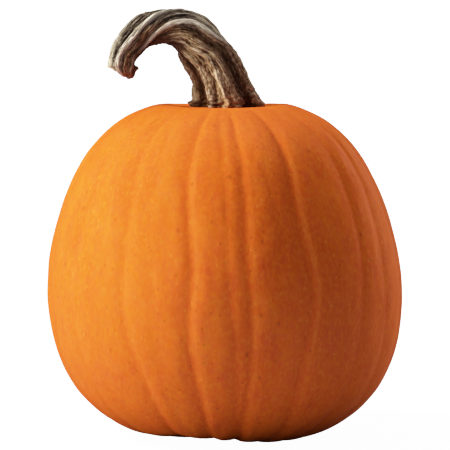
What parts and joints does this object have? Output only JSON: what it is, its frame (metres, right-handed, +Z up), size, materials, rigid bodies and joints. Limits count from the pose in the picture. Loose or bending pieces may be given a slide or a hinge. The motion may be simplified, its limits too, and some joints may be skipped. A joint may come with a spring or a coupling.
{
  "type": "pumpkin with stem",
  "caption": "Upright ribbed orange carving pumpkin with a flat resting spot, a shallow crown dish and a thick dried hooked stem.",
  "frame": {"origin": "on the resting surface, under the middle of the fruit's width and depth", "axes": "+Z up along the fruit's upright axis; -Y is the front; the stem hooks over towards -X"},
  "size_m": [0.2698, 0.2624, 0.3245],
  "materials": {
    "rind": "waxy satin skin",
    "dried_stem": "matte, dry and corky"
  },
  "bodies": {
    "root": {"fruit": "rind", "stem": "dried_stem"}
  },
  "joints": []
}
